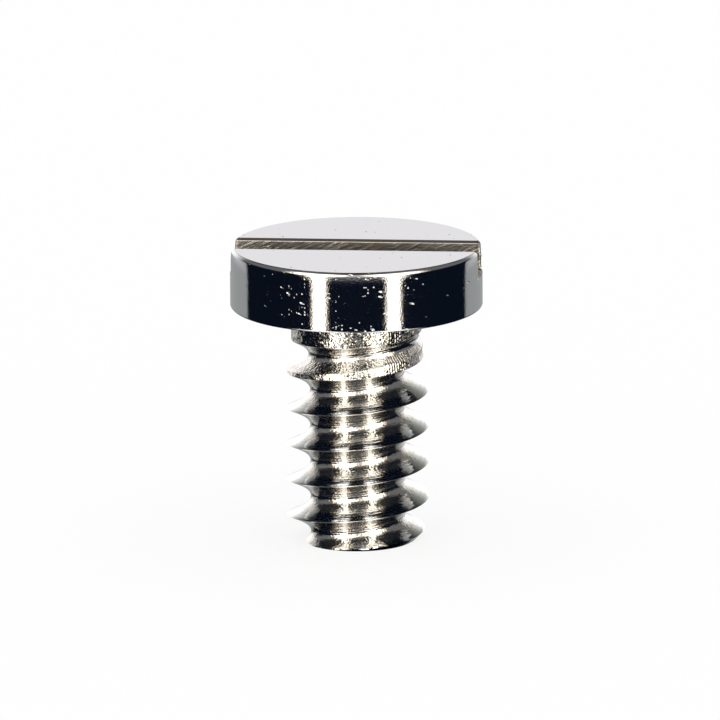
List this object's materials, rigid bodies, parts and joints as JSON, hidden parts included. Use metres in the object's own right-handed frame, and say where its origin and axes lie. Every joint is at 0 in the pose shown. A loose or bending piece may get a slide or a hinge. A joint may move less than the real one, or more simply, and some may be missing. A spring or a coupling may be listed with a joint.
{
  "type": "watch bridge screw",
  "caption": "Slotted cylinder-head screw with a coarse right-hand thread, a short plain neck and a bevelled flat end, for clamping a watch bridge to its plate.",
  "frame": {"origin": "middle of the flat end of the thread", "axes": "+Z along the screw's axis, from the end of the thread to the head; the slot runs nearly along X"},
  "size_m": [0.0018, 0.0018, 0.0021],
  "materials": {
    "nickel_steel": "polished, nickel-plated steel"
  },
  "bodies": {
    "root": {"bridge_screw": "nickel_steel"}
  },
  "joints": []
}
